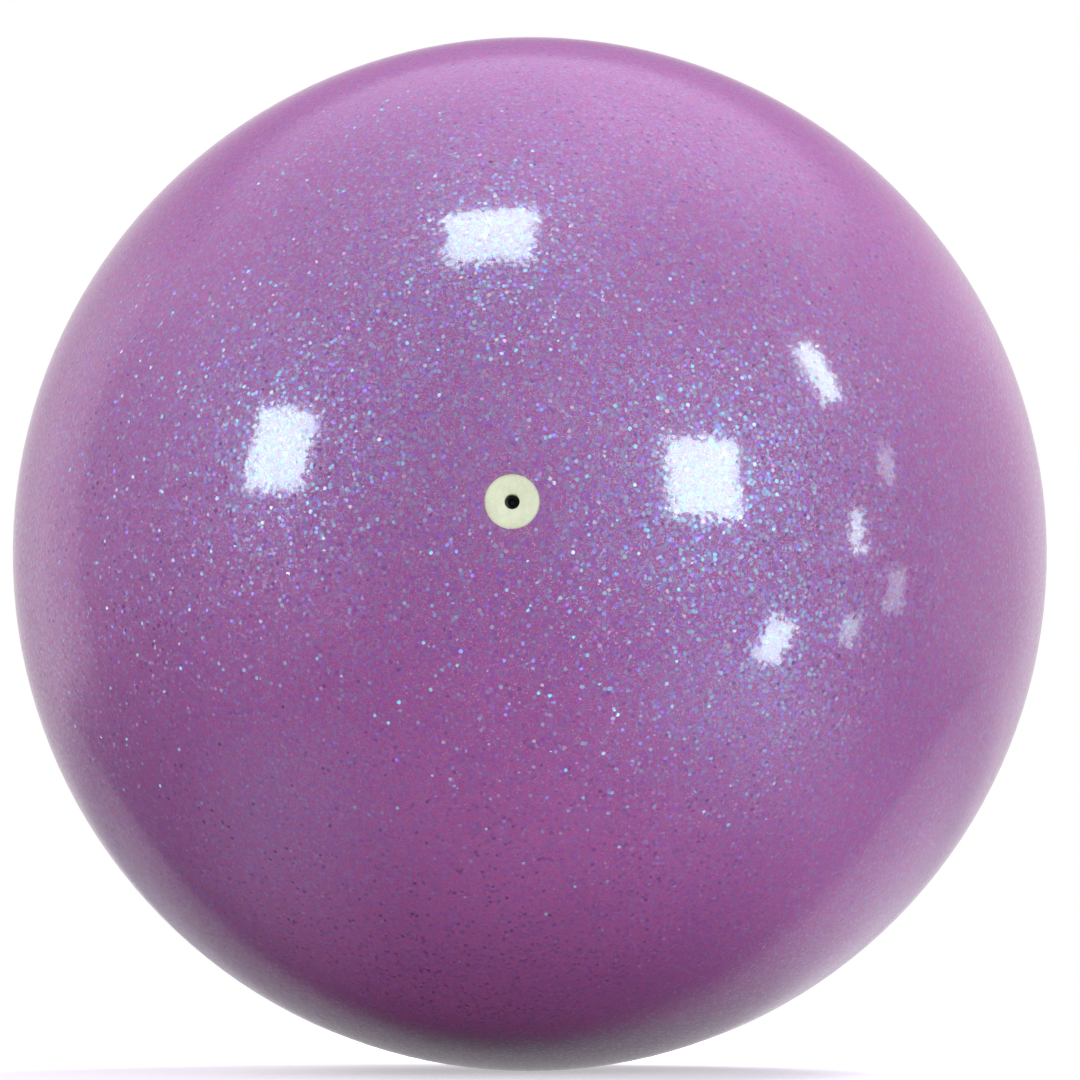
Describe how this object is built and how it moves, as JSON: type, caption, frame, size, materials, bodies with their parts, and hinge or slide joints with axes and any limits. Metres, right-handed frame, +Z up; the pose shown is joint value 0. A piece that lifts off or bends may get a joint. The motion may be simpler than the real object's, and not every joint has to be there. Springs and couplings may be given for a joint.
{
  "type": "rhythmic gymnastics ball",
  "caption": "Hollow inflatable rhythmic gymnastics ball with a violet glitter finish under clear gloss lacquer and a flush cream needle valve that pulls out.",
  "frame": {"origin": "centre of the ball", "axes": "+Z up, the valve looks along -Y and +X is to its right for someone facing the valve"},
  "size_m": [0.185, 0.1849, 0.185],
  "materials": {
    "clear_lacquer": "gloss",
    "glitter_lacquer": "gloss",
    "violet_paint": "satin",
    "carcass_rubber": "matte",
    "seat_rubber": "matte",
    "cream_rubber": "satin",
    "black_rubber": "matte",
    "patch_rubber": "matte"
  },
  "bodies": {
    "ball": {"carcass": "carcass_rubber", "colour_coat": "violet_paint", "glitter_coat": "glitter_lacquer", "clear_coat": "clear_lacquer", "valve_seat": "seat_rubber", "balance_patch": "patch_rubber"},
    "valve": {"valve_bung": "cream_rubber", "needle_core": "black_rubber"}
  },
  "joints": [
    {"name": "valve_pull", "type": "slide", "parent": "ball", "child": "valve", "axis": [0, -1, 0], "range_m": [0, 0.025]}
  ]
}
